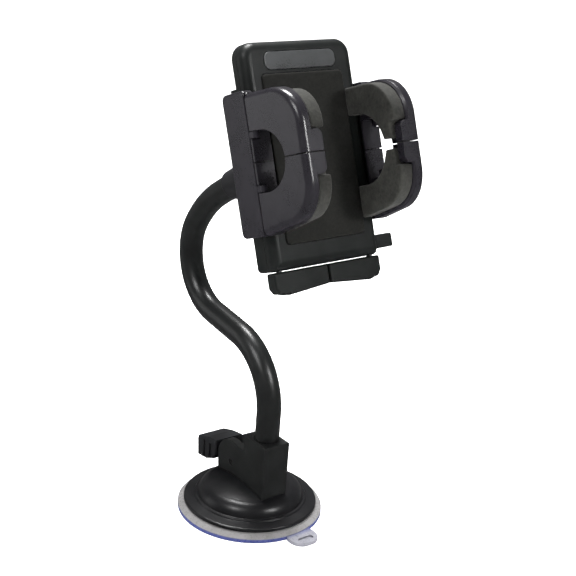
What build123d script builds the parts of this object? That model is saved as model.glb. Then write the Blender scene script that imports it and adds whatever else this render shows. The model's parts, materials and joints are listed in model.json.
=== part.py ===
from build123d import *
import math
import os

# Phone holder on a suction base, in millimetres. The origin is the centre of the suction disc's
# underside, on the surface it holds to. +Z points up and the holder's face looks towards -Y.
# The object is symmetric about X = 0, apart from the disc's pull tab and the release button.

os.makedirs("parts", exist_ok=True)

# Suction base
disc_radius = 36.0
disc_edge = 2.0
disc_lift = 2.6
tab_x = 3.7
tab_tip_y = -45.5
cup_radius = 33.1
cup_bottom = 4.2
dome_radius = 26.4
dome_top = 16.4
stem_radius = 2.5
yoke_bottom = 18.9

# Lever housing, the block that stands on the cup
housing_half = 7.2
housing_front = -19.15
housing_top = 41.9
slot_half = 3.5
slot_front = -3.2
pivot_y, pivot_z = 8.0, 22.3
cheek_radius = 11.6
cam_throw = 2.6
handle_half = 8.2
pin_gap = 0.05

# Bent neck: each run is a straight length, or a radius with the angle it turns through
neck_y = -10.4
neck_radius = 6.0
core_radius = 4.0
neck_joints = (22.0, 54.0, 86.0, 118.0, 150.0)
neck_cup_radius = 6.3
sleeve_start, sleeve_end = -5.7, 184.0
neck_runs = (
    ("line", 13.6, 0.0),
    ("arc", 31.8, -82.5),
    ("line", 22.5, 0.0),
    ("arc", 27.75, 113.9),
    ("arc", 63.5, 25.7),
    ("line", 44.8, 0.0),
)

# Ball joint behind the holder
ball_distance = 210.3
ball_radius = 8.5
seat_radius = 10.0
socket_radius = 12.0
nut_radius = 15.0

# Phone holder: w across, u up the face, n out of the face
holder_tilt = 21.15
face_y, face_z = -28.41, 189.23
body_half = 29.5
body_top, body_bottom = 48.8, -48.8
body_corner = 7.0
foot_corner = 2.0
shell_seam = -5.5
upper_back, lower_back = -8.7, -13.9
back_step = 30.2
wall = 1.8

# Jaws
jaw_outer = 34.9
jaw_inner = 30.0
seam_n = 3.75
arm_lean = 3.8
arm_rim = 3.0
shell_inner = 25.4
pad_inner = 18.5
arm_front = 34.4
split_u = -2.2
hinge_w, hinge_n = 33.0, 5.6
hinge_clear = 2.8
window_n = 9.8
window_radius, pad_window_radius = 12.9, 15.4
window_back = 4.9
pad_inset = 1.2
pad_gap = 2.2
lip_back, lip_inner = 30.4, 21.1

# Gear train that keeps the jaws together
module = 1.0
pinion_teeth = 12
pinion_u = -2.0
pitch_radius = module * pinion_teeth / 2
tooth_pitch = math.pi * module
rack_n = (-10.8, -7.2)

tilt = math.radians(holder_tilt)
side = Plane.YZ
holder = Plane(
    origin=(0, face_y, face_z),
    x_dir=(1, 0, 0),
    z_dir=(0, -math.cos(tilt), math.sin(tilt)),
)
flank = Plane(origin=holder.origin, x_dir=holder.y_dir, z_dir=(1, 0, 0))
across = Plane(origin=holder.origin, x_dir=(1, 0, 0), z_dir=-holder.y_dir)
outward = Axis(origin=holder.origin, direction=holder.z_dir)
upward = Axis(origin=holder.origin, direction=holder.y_dir)


def neck_at(distance):
    """Point (Y, Z) and heading in degrees, a distance along the neck above the housing."""
    y, z, heading = neck_y, housing_top, 90.0
    for kind, size, turn in neck_runs:
        length = size if kind == "line" else size * math.radians(abs(turn))
        step = min(distance, length)
        if kind == "line":
            y += step * math.cos(math.radians(heading))
            z += step * math.sin(math.radians(heading))
        else:
            hand = math.copysign(1.0, turn)
            new_heading = heading + hand * math.degrees(step / size)
            y += hand * size * (math.sin(math.radians(new_heading)) - math.sin(math.radians(heading)))
            z -= hand * size * (math.cos(math.radians(new_heading)) - math.cos(math.radians(heading)))
            heading = new_heading
        distance -= step
        if distance <= 0:
            break
    return (y, z), heading


def neck_plane(distance):
    """Plane across the neck, with its Z along the neck."""
    (y, z), heading = neck_at(distance)
    along = math.radians(heading)
    return Plane(origin=(0, y, z), x_dir=(1, 0, 0), z_dir=(0, math.cos(along), math.sin(along)))


def neck_route(start, end):
    """The neck's centreline between two distances, as straight lines and arcs."""
    with BuildLine(side) as route:
        run_end = 0.0
        for kind, size, turn in neck_runs:
            run_start = run_end
            run_end += size if kind == "line" else size * math.radians(abs(turn))
            low = start if run_start == 0.0 else max(start, run_start)
            high = min(end, run_end)
            if high - low < 0.01:
                continue
            if kind == "line":
                Line(neck_at(low)[0], neck_at(high)[0])
            else:
                ThreePointArc(neck_at(low)[0], neck_at((low + high) / 2)[0], neck_at(high)[0])
    return route


def neck_rod(start, end, radius, mode=Mode.ADD):
    """A round rod along the neck."""
    route = neck_route(start, end)
    with BuildSketch(neck_plane(start)) as section:
        Circle(radius)
    sweep(section.sketch, path=route.wires()[0], mode=mode)


def ball_at(plane, radius, mode=Mode.ADD):
    """A ball at a plane's origin, its poles on the plane's Z."""
    with Locations(plane.location):
        Sphere(radius, mode=mode)


def block(plane, x, y, z, corner=0.0, mode=Mode.ADD):
    """A block from its (low, high) spans in a plane's frame, with optional round corners."""
    with BuildSketch(plane.offset(z[0])) as outline:
        with Locations(((x[0] + x[1]) / 2, (y[0] + y[1]) / 2)):
            if corner:
                RectangleRounded(x[1] - x[0], y[1] - y[0], corner)
            else:
                Rectangle(x[1] - x[0], y[1] - y[0])
    extrude(outline.sketch, amount=z[1] - z[0], mode=mode)


def body_block(inset, n, mode=Mode.ADD):
    """The holder body's outline, or one inside it, between two heights."""
    half = body_half - inset
    with BuildSketch(holder.offset(n[0])) as outline:
        with Locations((0, (body_top + body_bottom) / 2)):
            Rectangle(2 * half, body_top - body_bottom - 2 * inset)
        fillet(outline.vertices().group_by(Axis.Y)[-1], body_corner - inset)
        fillet(outline.vertices().group_by(Axis.Y)[0], max(foot_corner - inset, 0.6))
    extrude(outline.sketch, amount=n[1] - n[0], mode=mode)


def post(plane, x, y, z, radius, mode=Mode.ADD):
    """A round post at (x, y) in a plane's frame, between two heights."""
    with BuildSketch(plane.offset(z[0])) as outline:
        with Locations((x, y)):
            Circle(radius)
    extrude(outline.sketch, amount=z[1] - z[0], mode=mode)


def plate(plane, points, z, corner=0.0, mode=Mode.ADD):
    """A plate with a polygon outline in a plane's frame, between two heights."""
    with BuildSketch(plane.offset(z[0])) as outline:
        with BuildLine():
            Polyline(*points, close=True)
        make_face()
        if corner:
            fillet(outline.vertices(), corner)
    extrude(outline.sketch, amount=z[1] - z[0], mode=mode)


def coil(plane, radius, wire, height, turns):
    """A coil spring that stands on a plane."""
    spiral = Helix(pitch=height / turns, height=height, radius=radius)
    path = plane.location * spiral
    with BuildSketch(Plane(origin=path @ 0, z_dir=path % 0)) as section:
        Circle(wire)
    sweep(section.sketch, path=path, is_frenet=True)


def save(piece, name):
    """Label a finished piece and write it."""
    piece.part.label = name
    export_step(piece.part, f"parts/{name}.step")


def save_pair(piece, name):
    """Write the right-hand piece and its mirror image on the left."""
    with BuildPart() as other:
        mirror(piece.part, about=Plane.YZ)
    save(piece, f"right_{name}")
    save(other, f"left_{name}")


# ---------------------------------------------------------------- suction base

with BuildPart() as suction_disc:
    with BuildSketch(Plane.XZ):
        with BuildLine():
            Line((28, 0), (disc_radius, 0))
            Line((disc_radius, 0), (disc_radius, disc_edge))
            Line((disc_radius, disc_edge), (32.8, 3.9))
            Line((32.8, 3.9), (26, 3.9))
            ThreePointArc((26, 3.9), (16, 4.9), (7, 5.7))
            Polyline((7, 5.7), (7, 10), (2.6, 10), (2.6, 5.6), (0, 5.6), (0, disc_lift))
            ThreePointArc((0, disc_lift), (14, 1.6), (28, 0))
        make_face()
    revolve(axis=Axis.Z)
    block(Plane.XY, (tab_x - 7.5, tab_x + 7.5), (tab_tip_y, -32), (0, 1.7), corner=6.2)
    block(Plane.XY, (tab_x - 4.2, tab_x + 4.2), (-43.2, -40.2), (0.8, 2), corner=1.4, mode=Mode.SUBTRACT)
save(suction_disc, "suction_disc")


def dome_outline(drop=0.0):
    """Outer curve of the cup's dome, from its foot up to the stem hole."""
    ThreePointArc((dome_radius, 7.4 - drop), (24.9, 10.9 - drop), (20.5, 13.6 - drop))
    ThreePointArc((20.5, 13.6 - drop), (12.2, 15.6 - drop), (3.6, dome_top - drop))


base_screw_places = ((4.4, -12.5), (-4.4, -12.5), (5.3, 13.0), (-5.3, 13.0))

with BuildPart() as cup_shell:
    with BuildSketch(Plane.XZ):
        with BuildLine():
            dome_outline()
            Line((3.6, dome_top), (3.6, 14.4))
            ThreePointArc((3.6, 14.4), (11.6, 13.6), (19.4, 11.7))
            ThreePointArc((19.4, 11.7), (22.9, 9.5), (24.5, 6.0))
            Polyline((24.5, 6.0), (25.4, 5.2), (31.4, 4.7), (31.4, cup_bottom))
            Polyline((31.4, cup_bottom), (cup_radius, cup_bottom), (cup_radius, 5.0))
            ThreePointArc((cup_radius, 5.0), (cup_radius - 0.3, 5.6), (cup_radius - 1.0, 5.8))
            Polyline((cup_radius - 1.0, 5.8), (28.0, 6.5), (27.6, 7.2), (26.8, 7.3), (dome_radius, 7.4))
        make_face()
    revolve(axis=Axis.Z)
    for x, y in base_screw_places:
        post(Plane.XY, x, y, (8, 20), 1.25, mode=Mode.SUBTRACT)
save(cup_shell, "cup_shell")

with BuildPart() as lever_housing:
    with BuildSketch(side.offset(-housing_half)):
        with BuildLine():
            Polyline((18.6, 9), (housing_front, 9), (housing_front, housing_top), (-1.2, housing_top))
            Polyline((-1.2, housing_top), (0.4, 40.2), (-3.0, 33.4), (4.3, 33.29))
            ThreePointArc(
                (4.3, 33.29),
                (pivot_y + cheek_radius * math.cos(0.8), pivot_z + cheek_radius * math.sin(0.8)),
                (pivot_y + cheek_radius, pivot_z),
            )
            Line((pivot_y + cheek_radius, pivot_z), (18.6, 9))
        make_face()
    extrude(amount=2 * housing_half)
    with BuildSketch(Plane.XZ):
        with BuildLine():
            dome_outline(-0.1)
            Polyline((3.6, dome_top + 0.1), (0, dome_top + 0.1), (0, 5), (dome_radius, 5), (dome_radius, 7.5))
        make_face()
    revolve(axis=Axis.Z, mode=Mode.SUBTRACT)
    block(side, (slot_front, 30), (5, 32.6), (-slot_half, slot_half), mode=Mode.SUBTRACT)
    block(side, (1.0, 30), (32, 45), (-slot_half, slot_half), mode=Mode.SUBTRACT)
    post(Plane.XY, 0, neck_y, (22, 45), 5.45, mode=Mode.SUBTRACT)
    post(Plane.XY, 0, neck_y, (36, 45), neck_radius + pin_gap, mode=Mode.SUBTRACT)
    post(side, pivot_y, pivot_z, (-8, 8), 1.5 + pin_gap, mode=Mode.SUBTRACT)
    post(Plane.XZ, 0, 29, (3, 5.5), 1.5 + pin_gap, mode=Mode.SUBTRACT)
    for x, y in base_screw_places:
        post(Plane.XY, x, y, (8, 20.1), 1.05, mode=Mode.SUBTRACT)
    outer_edges = lever_housing.faces().filter_by(Axis.X).group_by(Axis.X)
    chamfer(outer_edges[0].edges().filter_by(Axis.Y).group_by(Axis.Z)[-1], 0.4)
    chamfer(outer_edges[-1].edges().filter_by(Axis.Y).group_by(Axis.Z)[-1], 0.4)
save(lever_housing, "lever_housing")

with BuildPart() as base_screws:
    for x, y in base_screw_places:
        head_top = 13.4 if y < 0 else 13.1
        post(Plane.XY, x, y, (head_top - 2.5, 20), 1.0)
        post(Plane.XY, x, y, (head_top - 3.6, head_top - 2.2), 2.0)
save(base_screws, "base_screws")

with BuildPart() as lift_stem:
    post(Plane.XY, 0, 0, (5.7, yoke_bottom + 0.5), stem_radius)
    for low, high in ((1.8, 3.2), (-3.2, -1.8)):
        block(side, (-2.7, 12.0), (yoke_bottom, 28.6), (low, high))
    block(side, (-2.7, -1.2), (yoke_bottom, 28.6), (-3.2, 3.2))
    block(side, (3.9, 10.1), (20.4, 26.5), (-4, 4), corner=1.0, mode=Mode.SUBTRACT)
save(lift_stem, "lift_stem")

with BuildPart() as cam_lever:
    post(side, pivot_y, pivot_z, (-1.5, 1.5), 5.4)
    plate(side, ((8.0, 27.6), (21.0, 27.6), (21.0, 20.3), (9.0, 17.1)), (-1.5, 1.5))
    handle_outline = ((20.4, 28.6), (28.5, 27.2), (36.7, 24.6), (37.3, 22.8), (36.5, 13.7), (29.5, 14.3),
                      (22.5, 17.4), (20.5, 20.8))
    plate(side, handle_outline, (-handle_half, handle_half))
    fillet(cam_lever.edges().filter_by(Axis.X).group_by(Axis.Y)[-1], 0.7)
    handle_sides = cam_lever.faces().filter_by(Axis.X).group_by(Axis.X)
    fillet(handle_sides[0].edges() + handle_sides[-1].edges(), 0.9)
    for y, width in ((25.3, 1.1), (30.4, 0.9)):
        for x in (-handle_half, handle_half):
            block(side, (y - width, y + width), (10, 24.6), (x - 0.9, x + 0.9), mode=Mode.SUBTRACT)
    post(side, pivot_y, pivot_z, (-3, 3), 1.5 + pin_gap, mode=Mode.SUBTRACT)
    post(side, pivot_y, pivot_z + cam_throw, (-3, 3), 1.02, mode=Mode.SUBTRACT)
save(cam_lever, "cam_lever")

with BuildPart() as lever_pin:
    post(side, pivot_y, pivot_z, (-6.9, 6.9), 1.5)
    for x in (-6.9, 6.9):
        post(side, pivot_y, pivot_z, (x - 0.4, x + 0.4), 0.7, mode=Mode.SUBTRACT)
save(lever_pin, "lever_pin")

with BuildPart() as cam_pin:
    post(side, pivot_y, pivot_z + cam_throw, (-3.3, 3.3), 1.0)
save(cam_pin, "cam_pin")

with BuildPart() as stem_spring:
    coil(Plane.XY.offset(10.6), 4.4, 0.4, 3.2, 3)
save(stem_spring, "stem_spring")

with BuildPart() as grub_screw:
    post(Plane.XZ, 0, 29, (3.3, 4.9), 1.5)
    block(Plane.XZ, (-0.9, 0.9), (28.8, 29.2), (3.2, 3.9), mode=Mode.SUBTRACT)
save(grub_screw, "grub_screw")

# ---------------------------------------------------------------- bent neck

with BuildPart() as lower_ferrule:
    post(Plane.XY, 0, neck_y, (22.2, 35.9), 5.4)
    post(Plane.XY, 0, neck_y, (22, 37), core_radius + pin_gap, mode=Mode.SUBTRACT)
save(lower_ferrule, "lower_ferrule")

link_starts = (sleeve_start,) + neck_joints
link_ends = neck_joints + (sleeve_end,)
for number, (start, end) in enumerate(zip(link_starts, link_ends), start=1):
    first, last = number == 1, number == len(link_starts)

    with BuildPart() as neck_sleeve:
        neck_rod(start, end, neck_radius)
        if not last:
            ball_at(neck_plane(end), neck_radius)
        neck_rod(start, end, core_radius + pin_gap, mode=Mode.SUBTRACT)
        if not last:
            ball_at(neck_plane(end), core_radius + pin_gap, mode=Mode.SUBTRACT)
        if not first:
            ball_at(neck_plane(start), neck_cup_radius, mode=Mode.SUBTRACT)
    save(neck_sleeve, f"neck_sleeve_{number}")

    core_start = start - 13 if first else start
    with BuildPart() as neck_core:
        neck_rod(core_start, end, core_radius)
        if not last:
            ball_at(neck_plane(end), core_radius)
        if not first:
            ball_at(neck_plane(start), neck_cup_radius, mode=Mode.SUBTRACT)
    save(neck_core, f"neck_core_{number}")

collar_start, collar_end = 177.5, 192.0
with BuildPart() as upper_ferrule:
    collar = neck_plane(collar_start)
    collar_length = collar_end - collar_start
    post(collar, 0, 0, (0, collar_length), 7.2)
    fillet(upper_ferrule.edges().filter_by(GeomType.CIRCLE), 0.8)
    post(collar, 0, 0, (-1, sleeve_end - collar_start + 0.1), neck_radius + pin_gap, mode=Mode.SUBTRACT)
    post(collar, 0, 0, (0, collar_length + 1), 2.6, mode=Mode.SUBTRACT)
save(upper_ferrule, "upper_ferrule")

with BuildPart() as ball_stud:
    stud = neck_plane(collar_end)
    stud_length = ball_distance - collar_end
    post(stud, 0, 0, (-5, 3), 2.55)
    with BuildSketch(stud.offset(0.05)) as foot:
        Circle(6.4)
    with BuildSketch(stud.offset(5)) as waist:
        Circle(3.9)
    loft([foot.sketch.face(), waist.sketch.face()])
    post(stud, 0, 0, (5, stud_length), 3.9)
    ball_at(neck_plane(ball_distance), ball_radius)
save(ball_stud, "ball_stud")

# The socket's axis stands square to the holder's back and goes through the ball.
ball_local = holder.to_local_coords(Vector(*neck_plane(ball_distance).origin))
ball_u, ball_n = ball_local.Y, ball_local.Z
socket = Plane(origin=neck_plane(ball_distance).origin, x_dir=(1, 0, 0), z_dir=holder.z_dir)
plate_back = lower_back - 3.4 - ball_n

with BuildPart() as ball_seat:
    ball_at(socket, seat_radius)
    ball_at(socket, ball_radius + 0.1, mode=Mode.SUBTRACT)
    block(socket, (-12, 12), (-12, 12), (-12, -2.6), mode=Mode.SUBTRACT)
save(ball_seat, "ball_seat")

flange_back = plate_back - 3.2
with BuildPart() as ball_socket:
    post(socket, 0, 0, (-2.0, flange_back + 0.2), socket_radius)
    post(socket, 0, 0, (flange_back, plate_back - 0.3), 14.0)
    post(socket, 0, 0, (plate_back - 0.5, plate_back + 2.0), 6.0)
    ball_at(socket, seat_radius + 0.3, mode=Mode.SUBTRACT)
    post(socket, 0, 0, (seat_radius, plate_back + 3), 1.3, mode=Mode.SUBTRACT)
save(ball_socket, "ball_socket")

with BuildPart() as collar_nut:
    post(socket, 0, 0, (-6.4, 8.5), nut_radius)
    chamfer(collar_nut.edges().filter_by(GeomType.CIRCLE), 0.8)
    for step in range(18):
        angle = math.radians(20 * step)
        post(socket, 15.6 * math.cos(angle), 15.6 * math.sin(angle), (-7, 9), 1.2, mode=Mode.SUBTRACT)
    post(socket, 0, 0, (-4.9, 9), socket_radius + 0.3, mode=Mode.SUBTRACT)
    post(socket, 0, 0, (-7, -4), 9.2, mode=Mode.SUBTRACT)
save(collar_nut, "collar_nut")

plate_half_w, plate_half_u = 17.0, 19.0
hook_places = [(w, u) for w in (-12, 12) for u in (-13, 13)]
with BuildPart() as adapter_plate:
    block(socket, (-plate_half_w, plate_half_w), (-plate_half_u, plate_half_u),
          (plate_back, plate_back + 3.35), corner=4)
    post(socket, 0, 0, (plate_back - 1, plate_back + 2.2), 6.05, mode=Mode.SUBTRACT)
    post(socket, 0, 0, (plate_back + 2.1, plate_back + 4), 3.1, mode=Mode.SUBTRACT)
    for w, u in hook_places:
        block(socket, (w - 2, w + 2), (u - 1, u + 1), (plate_back + 3, plate_back + 5.4))
        block(socket, (w - 2, w + 2), (u - 1, u + 2.2), (plate_back + 5.3, plate_back + 6.2))
save(adapter_plate, "adapter_plate")

with BuildPart() as swivel_screw:
    post(socket, 0, 0, (11.5, plate_back + 2.4), 1.25)
    post(socket, 0, 0, (plate_back + 2.05, plate_back + 3.3), 3.0)
save(swivel_screw, "swivel_screw")

# ---------------------------------------------------------------- holder body

rack_window_n = (rack_n[0] - 0.25, rack_n[1] + 0.25)
rack_root, rack_back = pitch_radius + 1.1, pitch_radius + 6.0
case_screw_places = ((24.3, 41.0), (-24.3, 41.0), (24.3, -33.0), (-24.3, -33.0))
foot_pin_w, foot_pin_n = 25.2, -3.6
button_u, button_n = (-46.6, -40.3), (-10.5, -6.0)

with BuildPart() as front_shell:
    body_block(0, (shell_seam + 0.1, 0))
    front_edges = front_shell.faces().sort_by(outward)[-1].edges().sort_by(upward)
    fillet(front_edges[3:], 4.2)
    body_block(wall, (shell_seam - 1, -wall), mode=Mode.SUBTRACT)
    for w, u in case_screw_places:
        back = upper_back if u > back_step else lower_back
        post(holder, w, u, (back + wall + 0.1, -1), 2.6)
        post(holder, w, u, (back, -2.6), 1.05, mode=Mode.SUBTRACT)
    for w in (-foot_pin_w, foot_pin_w):
        block(holder, (w - 2.6, w + 2.6), (body_bottom + 1, -42), (shell_seam + 0.2, -1))
    block(holder, (-21.9, 21.9), (-38.3, 34.8), (-0.6, 1), corner=2.2, mode=Mode.SUBTRACT)
    block(holder, (-19.2, 19.2), (36.1, 44.1), (-0.6, 1), corner=3.2, mode=Mode.SUBTRACT)
    for w in (-foot_pin_w, foot_pin_w):
        with BuildSketch(Plane(origin=holder.from_local_coords((w, body_bottom - 1, foot_pin_n)),
                               x_dir=(1, 0, 0), z_dir=holder.y_dir)) as pin_hole:
            Circle(1.3)
        extrude(pin_hole.sketch, amount=6.5, mode=Mode.SUBTRACT)
    post(holder, 0, pinion_u, (-3.2, -1), 3.0)
    post(holder, 0, pinion_u, (-6, -2.2), 1.55, mode=Mode.SUBTRACT)
save(front_shell, "front_shell")

with BuildPart() as rear_shell:
    body_block(0, (lower_back, shell_seam - 0.1))
    block(holder, (-40, 40), (back_step, 60), (-20, upper_back), mode=Mode.SUBTRACT)
    fillet(rear_shell.faces().sort_by(outward)[0].edges(), 1.6)
    block(holder, (-body_half + wall, body_half - wall), (body_bottom + wall, back_step - wall),
          (lower_back + wall, 0), corner=0.6, mode=Mode.SUBTRACT)
    block(holder, (-body_half + wall, body_half - wall), (20, body_top - wall),
          (upper_back + wall, 0), corner=5, mode=Mode.SUBTRACT)
    for low, high, hand in ((body_half - 3, body_half + 3, 1), (-body_half - 3, -body_half + 3, -1)):
        edge_a = pinion_u + hand * (rack_root - 0.25)
        edge_b = pinion_u + hand * (rack_back + 0.25)
        block(holder, (low, high), (min(edge_a, edge_b), max(edge_a, edge_b)), rack_window_n,
              mode=Mode.SUBTRACT)
    block(holder, (body_half - 3, body_half + 3), (button_u[0] - 0.25, button_u[1] + 0.25),
          (button_n[0] - 0.25, 0), mode=Mode.SUBTRACT)
    for w, u in case_screw_places:
        back = upper_back if u > back_step else lower_back
        post(holder, w, u, (back - 1, back + 3), 1.25, mode=Mode.SUBTRACT)
        post(holder, w, u, (back - 1, back + 0.9), 2.3, mode=Mode.SUBTRACT)
    for w, u in hook_places:
        block(holder, (w - 2.15, w + 2.15), (ball_u + u - 1.15, ball_u + u + 2.35),
              (lower_back - 1, lower_back + 3), mode=Mode.SUBTRACT)
    post(holder, 0, pinion_u, (lower_back + 1, rack_n[0] - 0.3), 3.0)
    post(holder, 0, pinion_u, (lower_back + 0.9, -9), 1.55, mode=Mode.SUBTRACT)
save(rear_shell, "rear_shell")

with BuildPart() as case_screws:
    for w, u in case_screw_places:
        back = upper_back if u > back_step else lower_back
        post(holder, w, u, (back + 0.3, back + 4.5), 1.0)
        post(holder, w, u, (back + 0.1, back + 0.85), 2.2)
        block(holder, (w - 1.4, w + 1.4), (u - 0.25, u + 0.25), (back, back + 0.5), mode=Mode.SUBTRACT)
        block(holder, (w - 0.25, w + 0.25), (u - 1.4, u + 1.4), (back, back + 0.5), mode=Mode.SUBTRACT)
save(case_screws, "case_screws")

with BuildPart() as face_pad:
    block(holder, (-21.7, 21.7), (-38.1, 34.6), (-0.58, 0.9), corner=2.0)
    fillet(face_pad.faces().sort_by(outward)[-1].edges(), 0.4)
save(face_pad, "face_pad")

with BuildPart() as name_plate:
    block(holder, (-19.0, 19.0), (36.3, 43.9), (-0.58, 0.35), corner=3.0)
    fillet(name_plate.faces().sort_by(outward)[-1].edges(), 0.3)
save(name_plate, "name_plate")

# ---------------------------------------------------------------- gear train inside the body


def rack_bar(hand):
    """A toothed bar. Hand +1 is the upper bar of the right jaw, -1 the lower bar of the left jaw."""
    flip = 1 if hand > 0 else -1
    low, high = sorted((pinion_u + flip * rack_root, pinion_u + flip * rack_back))
    spans = sorted((-26.0 * flip, 33.0 * flip))
    block(holder, spans, (low, high), rack_n)
    for step in range(-8, 2):
        middle = step * tooth_pitch * flip
        root_u = pinion_u + flip * (rack_root + 0.1)
        tip_u = pinion_u + flip * (pitch_radius - 0.75)
        tooth = ((middle - 1.05, root_u), (middle - 0.4, tip_u), (middle + 0.4, tip_u), (middle + 1.05, root_u))
        plate(holder, tooth, rack_n)


with BuildPart() as right_rack:
    rack_bar(1)
save(right_rack, "right_rack")

with BuildPart() as left_rack:
    rack_bar(-1)
save(left_rack, "left_rack")

with BuildPart() as pinion:
    post(holder, 0, pinion_u, (rack_n[0] + 0.1, rack_n[1] + 0.3), 4.85)
    post(holder, 0, pinion_u, (rack_n[1] + 0.2, -4.9), 6.2)
    post(holder, 0, pinion_u, (-5.0, -3.4), 2.6)
    for tooth in range(pinion_teeth):
        angle = 15 + 30 * tooth
        spoke = Plane(
            origin=holder.from_local_coords((0, pinion_u, 0)),
            x_dir=holder.x_dir * math.cos(math.radians(angle)) + holder.y_dir * math.sin(math.radians(angle)),
            z_dir=holder.z_dir,
        )
        plate(spoke, ((4.5, -1.1), (6.75, -0.35), (6.75, 0.35), (4.5, 1.1)), (rack_n[0] + 0.1, rack_n[1] - 0.1))
        plate(spoke, ((6.0, -1.5), (7.4, 0.4), (6.0, 0.6)), (rack_n[1] + 0.3, -4.9))
    post(holder, 0, pinion_u, (-15, 0), 1.5 + pin_gap, mode=Mode.SUBTRACT)
save(pinion, "pinion")

with BuildPart() as pinion_axle:
    post(holder, 0, pinion_u, (lower_back + 1.0, -2.3), 1.5)
save(pinion_axle, "pinion_axle")

with BuildPart() as jaw_spring:
    coil(Plane(origin=holder.from_local_coords((0, pinion_u, -4.3)), x_dir=(1, 0, 0), z_dir=holder.z_dir),
         3.9, 0.3, 1.6, 2)
save(jaw_spring, "jaw_spring")

with BuildPart() as release_button:
    block(holder, (24.0, 42.5), button_u, button_n)
    fillet(release_button.faces().sort_by(Axis.X)[-1].edges(), 0.9)
    fillet(release_button.edges().filter_by(Axis.X).group_by(Axis.X)[-1], 0.8)
    block(holder, (24.0, 27.4), (button_u[0], button_u[1] + 2.0), button_n)
    block(holder, (-13.0, 24.5), (-46.0, -42.0), (-7.0, -5.5))
    block(holder, (-13.0, -10.2), (-46.0, pinion_u + 1.5), (-6.9, -5.5))
    plate(holder, ((-10.5, pinion_u - 1.5), (-7.75, pinion_u), (-10.5, pinion_u + 1.5)), (-6.9, -5.5))
save(release_button, "release_button")

with BuildPart() as button_spring:
    coil(Plane(origin=holder.from_local_coords((-26.6, -44.0, -8.6)), x_dir=holder.y_dir, z_dir=(1, 0, 0)),
         2.0, 0.3, 12.6, 7)
save(button_spring, "button_spring")

# ---------------------------------------------------------------- feet under the phone

foot_top = -49.2
foot_front, foot_back = -1.3, -7.0
with BuildPart() as foot:
    foot_outline = ((0.4, foot_top), (29.3, foot_top), (29.3, -55.8), (27.6, -58.2), (22.5, -59.4),
                    (12.0, -58.5), (0.4, -57.5))
    plate(holder, foot_outline, (foot_back, foot_front), corner=0.9)
    fillet(foot.faces().sort_by(outward)[-1].edges(), 0.85)
    for w in (19.5, 22.5, 25.5):
        block(holder, (w - 0.4, w + 0.4), (-60, -58.2), (-9, 2), mode=Mode.SUBTRACT)
    pin_line = Plane(origin=holder.from_local_coords((foot_pin_w, foot_top + 1, foot_pin_n)),
                     x_dir=(1, 0, 0), z_dir=-holder.y_dir)
    post(pin_line, 0, 0, (0, 7.0), 1.3, mode=Mode.SUBTRACT)
save_pair(foot, "foot")

with BuildPart() as foot_pins:
    for w in (-foot_pin_w, foot_pin_w):
        pin_line = Plane(origin=holder.from_local_coords((w, -43.6, foot_pin_n)),
                         x_dir=(1, 0, 0), z_dir=-holder.y_dir)
        post(pin_line, 0, 0, (0.2, 11.2), 1.25)
save(foot_pins, "foot_pins")

# ---------------------------------------------------------------- jaws, made on the right

rail_low, rail_high = -33.1, 28.2
ear_spans = ((7.9, 10.6), (-14.6, -11.9))

with BuildPart() as jaw_rail:
    block(flank, (rail_low, rail_high), (-13.0, seam_n - 0.1), (jaw_inner, jaw_outer), corner=2.6)
    fillet(jaw_rail.faces().sort_by(Axis.X)[-1].edges(), 1.0)
    block(flank, (rail_low + wall, rail_high - wall), (-13.0 + wall, seam_n - 0.1 - wall),
          (jaw_inner - 1, jaw_outer - 1.7), corner=1.5, mode=Mode.SUBTRACT)
    post(Plane(origin=holder.from_local_coords((hinge_w, rail_low - 1, hinge_n)),
               x_dir=(1, 0, 0), z_dir=holder.y_dir), 0, 0, (0, 65), hinge_clear, mode=Mode.SUBTRACT)
    for low, high in ear_spans:
        ear = Plane(origin=holder.from_local_coords((hinge_w, low, hinge_n)), x_dir=(1, 0, 0), z_dir=holder.y_dir)
        post(ear, 0, 0, (0, high - low), 1.7)
        block(ear, (-1.7, 1.7), (0, 3.4), (0, high - low))
        post(ear, 0, 0, (-1, high - low + 1), 0.8 + pin_gap, mode=Mode.SUBTRACT)
save_pair(jaw_rail, "jaw_rail")

with BuildPart() as jaw_cover:
    block(flank, (rail_low + wall + 0.15, rail_high - wall - 0.15),
          (-13.0 + wall + 0.15, seam_n - wall - 0.25), (jaw_inner, jaw_inner + 1.4), corner=1.3)
    block(flank, (pinion_u + rack_root - 0.2, pinion_u + rack_back + 0.2),
          (rack_n[0] - 0.2, rack_n[1] + 0.2), (jaw_inner - 1, jaw_inner + 3), mode=Mode.SUBTRACT)
save(jaw_cover, "right_jaw_cover")

with BuildPart() as left_jaw_cover:
    block(flank, (rail_low + wall + 0.15, rail_high - wall - 0.15),
          (-13.0 + wall + 0.15, seam_n - wall - 0.25), (-jaw_inner - 1.4, -jaw_inner), corner=1.3)
    block(flank, (pinion_u - rack_back - 0.2, pinion_u - rack_root + 0.2),
          (rack_n[0] - 0.2, rack_n[1] + 0.2), (-jaw_inner - 3, -jaw_inner + 1), mode=Mode.SUBTRACT)
save(left_jaw_cover, "left_jaw_cover")

with BuildPart() as hinge_pins:
    for low, high in ((8.0, 24.0), (-30.0, -12.0)):
        pin_line = Plane(origin=holder.from_local_coords((hinge_w, low, hinge_n)), x_dir=(1, 0, 0),
                         z_dir=holder.y_dir)
        post(pin_line, 0, 0, (0, high - low), 0.8)
save_pair(hinge_pins, "hinge_pins")


def arm_outline(inset):
    """D-shaped outline of a jaw's two arms together, in the flank's (u, n)."""
    with BuildLine() as outline:
        Polyline(
            (26.7 - inset, seam_n + 0.15),
            (26.4 - inset, arm_front - inset),
            (-27.6 + inset, arm_front - inset),
            (-33.0 + inset, seam_n + 0.15),
            close=True,
        )
    make_face(outline.edges())


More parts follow.
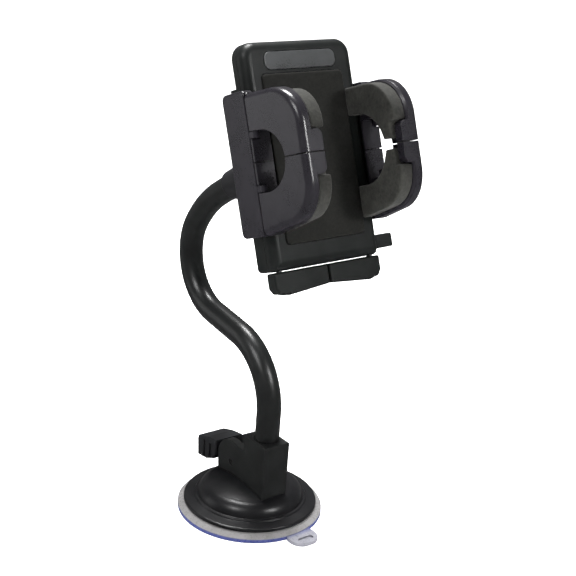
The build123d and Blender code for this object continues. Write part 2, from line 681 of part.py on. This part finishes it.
def arm_window(radius, back):
    """The D-shaped finger window, in the flank's (u, n)."""
    low, high = split_u - radius, split_u + radius
    with BuildLine() as outline:
        Line((high, back), (high, window_n))
        ThreePointArc((high, window_n), (split_u, window_n + radius), (low, window_n))
        Line((low, window_n), (low, back))
        Line((low, back), (high, back))
    make_face(outline.edges())


def keep_half(upper, gap):
    """Cut away the other half of a pair of arms, and its share of the gap between them."""
    far = -50 if upper else 50
    near = split_u + gap if upper else split_u - gap
    block(flank, sorted((far, near)), (0, 60), (10, 45), mode=Mode.SUBTRACT)


for half, upper, ear_span in (("upper", True, ear_spans[0]), ("lower", False, ear_spans[1])):
    lip_u = (split_u, 7.0) if upper else (-11.2, split_u)
    pin_span = (9.0, 24.2) if upper else (-30.2, -13.0)

    with BuildPart() as arm:
        with BuildSketch(flank.offset(shell_inner)) as outline:
            arm_outline(0)
            fillet(outline.vertices().group_by(Axis.Y)[-1], 17)
        extrude(amount=jaw_outer - shell_inner)
        wedge = ((jaw_outer, seam_n - 0.5), (45, seam_n - 0.5), (45, arm_front + 1), (jaw_outer - arm_lean, arm_front + 1))
        plate(across, wedge, (-40, 40), mode=Mode.SUBTRACT)
        outer_face = arm.faces().sort_by(Axis.X)[-1]
        fillet(outer_face.edges().sort_by(outward)[1:], arm_rim)
        inner_face = arm.faces().sort_by(Axis.X)[0]
        chamfer(inner_face.edges().sort_by(outward)[1:], 1.0)
        with BuildSketch(flank.offset(shell_inner)):
            arm_window(window_radius, window_back)
        extrude(amount=20, mode=Mode.SUBTRACT)
        block(holder, (lip_inner, shell_inner + 2), lip_u, (lip_back, arm_front))
        lip_corners = arm.edges().filter_by(outward).group_by(Axis.X)[0].sort_by(upward)
        fillet(lip_corners[-1 if upper else 0], 3.0)
        keep_half(upper, 0.25)
        block(flank, (ear_span[0] - 0.35, ear_span[1] + 0.3), (3, 8), (31.0, 36), mode=Mode.SUBTRACT)
        pin_line = Plane(origin=holder.from_local_coords((hinge_w, pin_span[0], hinge_n)), x_dir=(1, 0, 0),
                         z_dir=holder.y_dir)
        post(pin_line, 0, 0, (0, pin_span[1] - pin_span[0]), 0.8 + pin_gap, mode=Mode.SUBTRACT)
    save_pair(arm, f"{half}_arm")

    with BuildPart() as arm_pad:
        with BuildSketch(flank.offset(pad_inner)) as outline:
            arm_outline(pad_inset)
            fillet(outline.vertices().group_by(Axis.Y)[-1], 17 - pad_inset)
        extrude(amount=shell_inner - pad_inner)
        with BuildSketch(flank.offset(pad_inner - 1)):
            arm_window(pad_window_radius, seam_n - 1)
        extrude(amount=20, mode=Mode.SUBTRACT)
        block(flank, (lip_u[0] - 0.4, lip_u[1] + 0.4), (lip_back - 0.4, 40), (10, 45), mode=Mode.SUBTRACT)
        keep_half(upper, pad_gap)
    save_pair(arm_pad, f"{half}_arm_pad")
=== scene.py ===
import json
import math

import bpy
from mathutils import Matrix, Vector, noise


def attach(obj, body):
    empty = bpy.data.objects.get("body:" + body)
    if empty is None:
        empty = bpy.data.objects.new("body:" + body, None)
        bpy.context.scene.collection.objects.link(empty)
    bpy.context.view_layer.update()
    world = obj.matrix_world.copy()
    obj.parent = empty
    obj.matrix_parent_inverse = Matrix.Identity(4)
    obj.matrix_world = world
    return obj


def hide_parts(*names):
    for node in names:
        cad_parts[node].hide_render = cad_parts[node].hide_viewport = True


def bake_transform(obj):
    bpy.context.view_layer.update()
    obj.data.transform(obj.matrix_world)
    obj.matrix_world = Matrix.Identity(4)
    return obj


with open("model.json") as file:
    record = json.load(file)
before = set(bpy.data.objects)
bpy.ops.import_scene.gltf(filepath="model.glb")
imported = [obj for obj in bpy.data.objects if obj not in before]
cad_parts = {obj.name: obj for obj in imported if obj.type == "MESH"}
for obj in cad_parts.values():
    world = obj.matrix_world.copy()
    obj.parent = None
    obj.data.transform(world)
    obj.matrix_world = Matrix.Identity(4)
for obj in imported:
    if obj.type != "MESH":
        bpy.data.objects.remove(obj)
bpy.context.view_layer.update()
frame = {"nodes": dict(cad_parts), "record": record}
nodes = frame["nodes"]
MM = 0.001


# ---------------------------------------------------------------- materials

class Graph:
    """A material's node tree, with short calls for the nodes used below."""

    def __init__(self, name):
        self.material = bpy.data.materials.new(name)
        self.material.use_nodes = True
        self.tree = self.material.node_tree
        self.tree.nodes.clear()
        self.output = self.add("ShaderNodeOutputMaterial")
        self.shader = self.add("ShaderNodeBsdfPrincipled")
        self.link(self.shader.outputs["BSDF"], self.output.inputs["Surface"])
        self.place = self.add("ShaderNodeTexCoord").outputs["Object"]

    def add(self, kind, **settings):
        node = self.tree.nodes.new(kind)
        for key, value in settings.items():
            setattr(node, key, value)
        return node

    def link(self, source, target):
        self.tree.links.new(source, target)

    def set(self, **values):
        for key, value in values.items():
            self.shader.inputs[key.replace("_", " ")].default_value = value

    def noise(self, scale, detail=3.0, roughness=0.55):
        node = self.add("ShaderNodeTexNoise")
        node.inputs["Scale"].default_value = scale
        node.inputs["Detail"].default_value = detail
        node.inputs["Roughness"].default_value = roughness
        self.link(self.place, node.inputs["Vector"])
        return node.outputs["Fac"]

    def ramp(self, source, low, high, start=0.3, end=0.7):
        node = self.add("ShaderNodeValToRGB")
        node.color_ramp.elements[0].position = start
        node.color_ramp.elements[0].color = (*low, 1)
        node.color_ramp.elements[1].position = end
        node.color_ramp.elements[1].color = (*high, 1)
        self.link(source, node.inputs["Fac"])
        return node.outputs["Color"]

    def span(self, source, low, high, start=0.3, end=0.7):
        node = self.add("ShaderNodeMapRange")
        for key, value in (("From Min", start), ("From Max", end), ("To Min", low), ("To Max", high)):
            node.inputs[key].default_value = value
        self.link(source, node.inputs["Value"])
        return node.outputs["Result"]

    def math(self, operation, a, b):
        node = self.add("ShaderNodeMath", operation=operation, use_clamp=True)
        for socket, value in zip(node.inputs, (a, b)):
            if isinstance(value, (int, float)):
                socket.default_value = value
            else:
                self.link(value, socket)
        return node.outputs[0]

    def mix(self, factor, a, b):
        node = self.add("ShaderNodeMix", data_type="RGBA")
        self.link(factor, node.inputs[0])
        for socket, value in ((node.inputs[6], a), (node.inputs[7], b)):
            if isinstance(value, tuple):
                socket.default_value = (*value, 1)
            else:
                self.link(value, socket)
        return node.outputs[2]

    def soft_edge(self, radius):
        """Normal with the edges rounded, and a mask that is 1 on those edges."""
        bevel = self.add("ShaderNodeBevel", samples=4)
        bevel.inputs["Radius"].default_value = radius
        flat = self.add("ShaderNodeNewGeometry")
        dot = self.add("ShaderNodeVectorMath", operation="DOT_PRODUCT")
        self.link(bevel.outputs["Normal"], dot.inputs[0])
        self.link(flat.outputs["Normal"], dot.inputs[1])
        edge = self.span(dot.outputs["Value"], 1.0, 0.0, 0.86, 0.995)
        return bevel.outputs["Normal"], edge

    def bump(self, height, strength, distance, normal=None):
        node = self.add("ShaderNodeBump")
        node.inputs["Strength"].default_value = strength
        node.inputs["Distance"].default_value = distance
        self.link(height, node.inputs["Height"])
        if normal is not None:
            self.link(normal, node.inputs["Normal"])
        return node.outputs["Normal"]

    def finish(self, colour=None, roughness=None, normal=None):
        for source, name in ((colour, "Base Color"), (roughness, "Roughness"), (normal, "Normal")):
            if source is not None:
                self.link(source, self.shader.inputs[name])
        return self.material


def moulded(name, dark, light, rough, grain, depth, edge=0.0003, worn=(0.10, 0.10, 0.10), wear=0.35, **fixed):
    """Moulded plastic: fine grain, faint mottling, softly rounded edges that are a little rubbed."""
    g = Graph(name)
    mottle = g.noise(95.0, 4.0)
    colour = g.ramp(mottle, dark, light)
    soft, edges = g.soft_edge(edge)
    rub = g.math("MULTIPLY", edges, g.span(g.noise(420.0, 2.0), 0.0, wear, 0.35, 0.75))
    colour = g.mix(rub, colour, worn)
    fine = g.noise(grain, 2.0, 0.5)
    roughness = g.span(g.math("ADD", g.math("MULTIPLY", fine, 0.5), g.math("MULTIPLY", mottle, 0.5)), *rough)
    normal = g.bump(fine, depth, 0.00006, soft)
    g.set(**fixed)
    return g.finish(colour, roughness, normal)


def metal(name, dark, light, rough, scale):
    """Plated steel with fine turning marks and faint tarnish."""
    g = Graph(name)
    tarnish = g.noise(300.0, 4.0)
    soft, edges = g.soft_edge(0.00015)
    fine = g.noise(scale, 2.0)
    g.set(Metallic=1.0)
    colour = g.mix(edges, g.ramp(tarnish, dark, light), light)
    return g.finish(colour, g.span(fine, *rough), g.bump(fine, 0.15, 0.00003, soft))


def foam(name, dark, light, cell, depth, **fixed):
    """Foam rubber: open grain of small pits with a dusty bloom."""
    g = Graph(name)
    pits = g.add("ShaderNodeTexVoronoi", feature="SMOOTH_F1")
    pits.inputs["Scale"].default_value = cell
    pits.inputs["Smoothness"].default_value = 0.6
    g.link(g.place, pits.inputs["Vector"])
    cloud = g.noise(130.0, 5.0)
    grain = g.noise(cell * 0.6, 3.0)
    height = g.math("ADD", g.math("MULTIPLY", pits.outputs["Distance"], 0.6), g.math("MULTIPLY", grain, 0.6))
    tone = g.math("ADD", g.math("MULTIPLY", cloud, 0.55), g.math("MULTIPLY", grain, 0.45))
    g.set(**fixed)
    colour = g.ramp(tone, dark, light, 0.35, 0.68)
    return g.finish(colour, g.span(cloud, 0.78, 0.95), g.bump(height, depth, 0.00022))


def clear_vinyl():
    """Soft clear vinyl: milky upper face, blue-violet where the light is caught in its rim."""
    g = Graph("clear_pvc_soft")
    parts = g.add("ShaderNodeSeparateXYZ")
    g.link(g.place, parts.inputs["Vector"])
    cloud = g.noise(160.0, 3.0)
    milky = g.ramp(cloud, (0.20, 0.195, 0.195), (0.25, 0.245, 0.245))
    # Painted light: the blue-violet below the raised face is light caught in the clear rim, painted into the
    # rim's colour
    rim = g.ramp(cloud, (0.040, 0.052, 0.19), (0.065, 0.082, 0.26))
    tab = g.ramp(cloud, (0.24, 0.24, 0.27), (0.31, 0.31, 0.35))
    raised = g.span(parts.outputs["Z"], 0.0, 1.0, 0.0015, 0.0021)
    on_tab = g.span(parts.outputs["Y"], 1.0, 0.0, -0.0385, -0.0355)
    colour = g.mix(on_tab, g.mix(raised, rim, milky), tab)
    g.set(IOR=1.45)
    return g.finish(colour, g.span(g.noise(900.0, 2.0), 0.24, 0.36), g.bump(cloud, 0.03, 0.0002))


finishes = {
    "clear_pvc": clear_vinyl(),
    "cup_black": moulded("cup_black_gloss", (0.004, 0.004, 0.005), (0.008, 0.008, 0.009), (0.27, 0.36),
                         3000.0, 0.03, edge=0.0004, worn=(0.03, 0.03, 0.03), wear=0.2,
                         Specular_IOR_Level=0.34),
    "block_black": moulded("block_black_matte", (0.006, 0.0065, 0.0065), (0.012, 0.013, 0.013), (0.50, 0.66),
                           3200.0, 0.22, edge=0.00035, worn=(0.06, 0.06, 0.06), Specular_IOR_Level=0.22),
    "lever_black": moulded("lever_black_matte", (0.006, 0.006, 0.007), (0.012, 0.013, 0.015), (0.42, 0.58),
                           3000.0, 0.2, edge=0.0004, worn=(0.07, 0.07, 0.07), Specular_IOR_Level=0.24),
    "steel": metal("steel_plated", (0.38, 0.37, 0.36), (0.62, 0.61, 0.59), (0.22, 0.42), 2400.0),
    "steel_dark": metal("steel_blackened", (0.05, 0.05, 0.05), (0.10, 0.10, 0.10), (0.35, 0.5), 2400.0),
    "neck_black": moulded("neck_black_vinyl", (0.004, 0.0045, 0.0045), (0.008, 0.009, 0.009), (0.30, 0.40),
                          1400.0, 0.06, edge=0.0004, worn=(0.03, 0.03, 0.03), wear=0.15,
                          Specular_IOR_Level=0.5),
    "ball_black": moulded("ball_black_satin", (0.008, 0.008, 0.009), (0.014, 0.014, 0.016), (0.38, 0.52),
                          2600.0, 0.15, edge=0.0004, worn=(0.07, 0.07, 0.07), Specular_IOR_Level=0.3),
    "body_black": moulded("body_black_satin", (0.006, 0.0072, 0.007), (0.011, 0.0125, 0.012), (0.34, 0.46),
                          3400.0, 0.14, edge=0.0004, worn=(0.07, 0.075, 0.075), Specular_IOR_Level=0.22),
    "pad_black": foam("pad_black_rubber", (0.009, 0.0092, 0.008), (0.017, 0.017, 0.015), 1500.0, 0.35,
                      Specular_IOR_Level=0.25),
    # Painted reflection: the plate's black is painted lighter than the body's, standing for the sheen its
    # gloss reflects
    "plate_black": moulded("plate_black_gloss", (0.045, 0.047, 0.048), (0.060, 0.063, 0.065), (0.24, 0.34),
                           2600.0, 0.05, edge=0.0003, worn=(0.12, 0.12, 0.12), wear=0.5,
                           Specular_IOR_Level=0.35),
    "gear_white": moulded("gear_white_acetal", (0.62, 0.61, 0.57), (0.76, 0.75, 0.71), (0.35, 0.5),
                          1600.0, 0.1, edge=0.0002, worn=(0.8, 0.79, 0.75)),
    # Painted reflection: the faint purple in the jaws' black stands for the purple-grey sheen the lamps give
    # their sides
    "jaw_black": moulded("jaw_black_gloss", (0.011, 0.010, 0.0135), (0.017, 0.0155, 0.020), (0.25, 0.33),
                         3400.0, 0.02, edge=0.00035, worn=(0.07, 0.07, 0.08), wear=0.08,
                         Specular_IOR_Level=0.42, Coat_Weight=0.12, Coat_Roughness=0.16),
    "foam_black": foam("foam_black_pad", (0.016, 0.016, 0.014), (0.040, 0.040, 0.035), 1150.0, 0.6,
                       Specular_IOR_Level=0.25, Sheen_Weight=0.06),
}

slot_of = {}
for part in frame["record"]["subparts"]:
    slot_of[part["node"]] = part["material_slot"]

blackened = ("lever_pin", "left_hinge_pins", "right_hinge_pins", "foot_pins")
for name, node in nodes.items():
    for material_slot in node.material_slots:
        material_slot.material = finishes["steel_dark" if name in blackened else slot_of[name]]


# ---------------------------------------------------------------- the neck's smooth sleeve

# Centreline in metres: straight lengths, and radii with the angle each turns through
neck_runs = (
    ("line", 13.6 * MM, 0.0),
    ("arc", 31.8 * MM, -82.5),
    ("line", 22.5 * MM, 0.0),
    ("arc", 27.75 * MM, 113.9),
    ("arc", 63.5 * MM, 25.7),
    ("line", 44.8 * MM, 0.0),
)
neck_foot = (-10.4 * MM, 41.9 * MM)
neck_joints = [d * MM for d in (22.0, 54.0, 86.0, 118.0, 150.0)]
sleeve_start, sleeve_end = -5.7 * MM, 184.0 * MM
sleeve_radius, sleeve_bore = 6.0 * MM, 4.6 * MM


def neck_at(distance):
    """Point on the neck's centreline and its heading, at a distance along it."""
    y, z, heading = neck_foot[0], neck_foot[1], math.pi / 2
    left = distance
    for kind, size, turn in neck_runs:
        length = size if kind == "line" else size * math.radians(abs(turn))
        step = min(left, length)
        if kind == "line":
            y += step * math.cos(heading)
            z += step * math.sin(heading)
        else:
            hand = math.copysign(1.0, turn)
            after = heading + hand * step / size
            y += hand * size * (math.sin(after) - math.sin(heading))
            z -= hand * size * (math.cos(after) - math.cos(heading))
            heading = after
        left -= step
        if left <= 0:
            break
    return Vector((0, y, z)), heading


def neck_piece(name, start, end, sides=64, pitch=0.7 * MM):
    """A closed length of tube along the neck, with its shading normals taken from the tube itself."""
    count = max(2, round((end - start) / pitch))
    mesh_points, normals, faces = [], [], []
    stations = [start + (end - start) * i / count for i in range(count + 1)]
    for radius, sense in ((sleeve_radius, 1.0), (sleeve_bore, -1.0)):
        for distance in stations:
            centre, heading = neck_at(distance)
            out = Vector((0, -math.sin(heading), math.cos(heading)))
            for j in range(sides):
                turn = 2 * math.pi * j / sides
                ray = Vector((1, 0, 0)) * math.cos(turn) + out * math.sin(turn)
                mesh_points.append(centre + ray * radius)
                normals.append(ray * sense)
    inner = (count + 1) * sides
    for i in range(count):
        for j in range(sides):
            k = (j + 1) % sides
            a, b, c, d = i * sides + j, i * sides + k, (i + 1) * sides + k, (i + 1) * sides + j
            faces.append((a, d, c, b))
            faces.append((inner + a, inner + b, inner + c, inner + d))
    for j in range(sides):
        k = (j + 1) % sides
        top = count * sides
        faces.append((j, k, inner + k, inner + j))
        faces.append((top + j, inner + top + j, inner + top + k, top + k))
    mesh = bpy.data.meshes.new(name)
    mesh.from_pydata(mesh_points, [], faces)
    for face in mesh.polygons:
        face.use_smooth = True
    mesh.normals_split_custom_set_from_vertices(normals)
    mesh.materials.append(finishes["neck_black"])
    piece = bpy.data.objects.new(name, mesh)
    bpy.context.scene.collection.objects.link(piece)
    return piece


middles = [(a + b) / 2 for a, b in zip(neck_joints, neck_joints[1:])]
cuts = [sleeve_start] + middles + [sleeve_end]
bend_reach = 11 * MM
for number, joint in enumerate(neck_joints, start=1):
    piece = neck_piece(f"neck_skin_{number}", cuts[number - 1], cuts[number])
    stands_for = [f"neck_sleeve_{number}"] + (["neck_sleeve_6"] if number == len(neck_joints) else [])
    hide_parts(*stands_for)
    neck_at(joint - bend_reach)[0]
    neck_at(joint + bend_reach)[0]
    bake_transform(piece)


# ---------------------------------------------------------------- soft pads

holder_tilt = math.radians(21.15)
holder_out = Vector((0, -math.cos(holder_tilt), math.sin(holder_tilt)))
foam_ripple, ripple_scale = 0.12 * MM, 260.0


def soft_copy(node, name, voxel, shrink, rounds, finish, body, inward, crown):
    """A crowned, round-edged pad made from the space that a CAD pad holds.

    It is remeshed in voxels, smoothed in rounds, drawn back by shrink and domed by crown along inward.
    """
    source = nodes[node]
    mesh = source.data.copy()
    mesh.name = name
    piece = bpy.data.objects.new(name, mesh)
    bpy.context.scene.collection.objects.link(piece)
    remesh = piece.modifiers.new("voxels", "REMESH")
    remesh.mode = "VOXEL"
    remesh.voxel_size = voxel
    smooth = piece.modifiers.new("round", "SMOOTH")
    smooth.factor = 0.5
    smooth.iterations = rounds
    bpy.context.view_layer.update()
    shaped = bpy.data.meshes.new_from_object(piece.evaluated_get(bpy.context.evaluated_depsgraph_get()))
    piece.modifiers.clear()
    piece.data = shaped
    low = min(v.co @ inward for v in shaped.vertices)
    high = max(v.co @ inward for v in shaped.vertices)
    centre = sum((v.co for v in shaped.vertices), Vector()) / len(shaped.vertices)
    reach = max((v.co - centre).length for v in shaped.vertices)
    for v in shaped.vertices:
        share = (v.co @ inward - low) / (high - low)
        from_middle = v.co - centre
        from_middle -= inward * (from_middle @ inward)
        dome = max(0.0, 1 - (from_middle.length / reach) ** 2)
        ripple = noise.noise(v.co * ripple_scale) * foam_ripple
        v.co += inward * (share * (crown * dome + ripple) - shrink * share)
    for face in shaped.polygons:
        face.use_smooth = True
    shaped.materials.clear()
    shaped.materials.append(finish)
    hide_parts(node)
    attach(piece, body)


for hand, toward in (("left", 1.0), ("right", -1.0)):
    for half in ("upper", "lower"):
        soft_copy(f"{hand}_{half}_arm_pad", f"{hand}_{half}_arm_foam", 0.55 * MM, 0.25 * MM, 6,
                  finishes["foam_black"], f"{hand}_{half}_arm", Vector((toward, 0, 0)), 0.5 * MM)

soft_copy("face_pad", "face_cushion", 0.45 * MM, 0.05 * MM, 4, finishes["pad_black"], "holder",
          holder_out, 0.15 * MM)


# ---------------------------------------------------------------- studio

# Floor and backdrop in metres, laid along the camera's line of sight
back = Vector((0.6206, 0.7841, 0.0))
across = Vector((0.7841, -0.6206, 0.0))
floor_front, floor_back, floor_half = 14.0, 1.2, 8.0
sweep_radius, sweep_steps = 1.2, 12
backdrop_top = 4.5
ring_radius, ring_height, ring_sides = 7.5, 2.5, 96


def floor_and_sweep():
    """A pale floor that curves up into a backdrop, far behind the object."""
    profile = [(-floor_front, 0.0), (floor_back, 0.0)]
    for step in range(1, sweep_steps + 1):
        turn = math.pi / 2 * step / sweep_steps
        profile.append((floor_back + sweep_radius * math.sin(turn), sweep_radius * (1 - math.cos(turn))))
    profile.append((floor_back + sweep_radius, backdrop_top))
    mesh_points, faces = [], []
    for along, up in profile:
        for side in (-floor_half, floor_half):
            mesh_points.append(back * along + across * side + Vector((0, 0, up)))
    for i in range(len(profile) - 1):
        a = 2 * i
        faces.append((a, a + 1, a + 3, a + 2))
    mesh = bpy.data.meshes.new("studio_sweep")
    mesh.from_pydata(mesh_points, [], faces)
    for face in mesh.polygons:
        face.use_smooth = True
    g = Graph("studio_paper")
    tone = g.noise(3.0, 2.0)
    g.set(Emission_Color=(1, 1, 1, 1), Emission_Strength=0.80)
    paper = g.ramp(tone, (0.93, 0.93, 0.93), (0.95, 0.95, 0.95))
    mesh.materials.append(g.finish(paper, g.span(tone, 0.8, 0.9)))
    sweep = bpy.data.objects.new("studio_sweep", mesh)
    # The paper lights the object softly and stays out of its gloss, as behind black flags
    sweep.visible_glossy = False
    bpy.context.scene.collection.objects.link(sweep)
    return mesh.materials[0]


def far_ring(paper):
    """A low pale wall around the floor, seen behind the object from any side and lighting nothing."""
    mesh_points, faces = [], []
    for step in range(ring_sides):
        turn = 2 * math.pi * step / ring_sides
        for up in (0.0, ring_height):
            mesh_points.append((ring_radius * math.cos(turn), ring_radius * math.sin(turn), up))
        a, b = 2 * step, 2 * ((step + 1) % ring_sides)
        faces.append((a, a + 1, b + 1, b))
    mesh = bpy.data.meshes.new("studio_ring")
    mesh.from_pydata(mesh_points, [], faces)
    for face in mesh.polygons:
        face.use_smooth = True
    mesh.materials.append(paper)
    ring = bpy.data.objects.new("studio_ring", mesh)
    ring.visible_glossy = False
    ring.visible_diffuse = False
    ring.visible_shadow = False
    bpy.context.scene.collection.objects.link(ring)


def softbox(name, place, target, size, power, shape="RECTANGLE"):
    """An area light at a place, aimed at a target."""
    lamp = bpy.data.lights.new(name, "AREA")
    lamp.shape = shape
    lamp.size = size[0]
    if shape == "RECTANGLE":
        lamp.size_y = size[1]
    lamp.energy = power
    rig = bpy.data.objects.new(name, lamp)
    rig.location = place
    rig.rotation_euler = (Vector(target) - Vector(place)).to_track_quat("-Z", "Y").to_euler()
    bpy.context.scene.collection.objects.link(rig)


far_ring(floor_and_sweep())
world = bpy.data.worlds.new("studio_air")
world.use_nodes = True
world.node_tree.nodes["Background"].inputs["Color"].default_value = (1, 1, 1, 1)
world.node_tree.nodes["Background"].inputs["Strength"].default_value = 0.16
bpy.context.scene.world = world

softbox("top_round", (0.10, 0.28, 0.95), (0, 0, 0.06), (0.34, 0.34), 16.0, shape="DISK")
softbox("front_round", (0.26, -0.80, 0.60), (0, 0, 0.04), (0.20, 0.20), 4.0, shape="DISK")
softbox("left_high", (-0.75, -0.20, 0.85), (0, 0, 0.16), (0.30, 0.30), 4.5)
softbox("left_behind", (-0.9, 0.75, 0.25), (0, 0, 0.16), (0.5, 0.7), 1.2)

# Camera at the photograph's angle; the offset is the origin's place in the camera's own axes
focal_length, sensor_width = 76.9, 36.0
azimuth, elevation, roll = (math.radians(angle) for angle in (-38.37, 20.25, 4.39))
origin_offset = Vector((-19.47 * MM, -108.86 * MM, -619.0 * MM))

camera = bpy.data.cameras.new("camera")
camera.lens = focal_length
camera.sensor_width = sensor_width
camera.clip_start = 10 * MM
flat_right = Vector((math.cos(azimuth), math.sin(azimuth), 0))
backward = Vector((math.sin(azimuth) * math.cos(elevation), -math.cos(azimuth) * math.cos(elevation),
                   math.sin(elevation)))
flat_up = backward.cross(flat_right)
right = flat_right * math.cos(roll) + flat_up * math.sin(roll)
up = flat_up * math.cos(roll) - flat_right * math.sin(roll)
turn = Matrix((right, up, backward))
eye = bpy.data.objects.new("camera", camera)
eye.matrix_world = Matrix.Translation(-(turn.transposed() @ origin_offset)) @ turn.transposed().to_4x4()
bpy.context.scene.collection.objects.link(eye)
bpy.context.scene.camera = eye
bpy.context.scene.view_settings.view_transform = "Standard"
